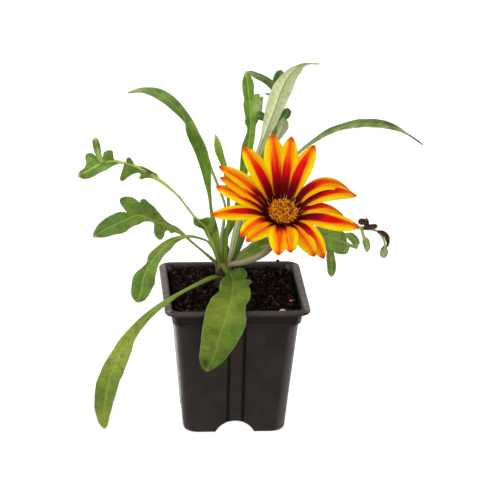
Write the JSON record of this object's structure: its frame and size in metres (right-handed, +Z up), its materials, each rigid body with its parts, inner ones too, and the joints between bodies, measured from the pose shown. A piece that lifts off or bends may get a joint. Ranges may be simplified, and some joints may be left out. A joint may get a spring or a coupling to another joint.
{
  "type": "potted gazania",
  "caption": "Gazania in bloom in a square black nursery pot: striped ray petals round a granular disc, lobed and lance-shaped leaves arching from a short crown in dark soil.",
  "frame": {"origin": "middle of the underside of the bounding box, on the plane that the pot's four feet stand on", "axes": "+Z up, out of the pot; -Y is the side that the flower leans to; the pot's walls face along X and Y"},
  "size_m": [0.2156, 0.1046, 0.2303],
  "materials": {
    "pot_plastic": "thin thermoformed black plastic, dusty and slightly brown",
    "peat": "moist crumbly peat with brown fibres",
    "stem": "smooth pale olive flushed with purple, finely haired",
    "leaf": "satin green leaf with pale midrib",
    "leaf_felt": "felted cream-green underside of a leaf",
    "petal": "satin yellow petals striped red, maroon at the base",
    "florets": "granular orange and brown"
  },
  "bodies": {
    "root": {"pot": "pot_plastic", "soil": "peat", "crown": "stem", "flower_stem": "stem", "ray_petals": "petal", "disc_florets": "florets", "leaf_front": "leaf", "leaf_low_left": "leaf", "leaf_left_spoon": "leaf", "leaf_mid_left": "leaf", "leaf_high_left": "leaf", "leaf_tall_left": "leaf", "leaf_upright_left": "leaf", "leaf_small": "leaf", "leaf_toothed_top": "leaf", "leaf_hooked_top": "leaf", "leaf_feathered_top": "leaf", "leaf_pale_back": "leaf_felt", "leaf_arch_right": "leaf", "leaf_under_flower": "leaf", "leaf_far_right": "leaf"}
  },
  "joints": []
}
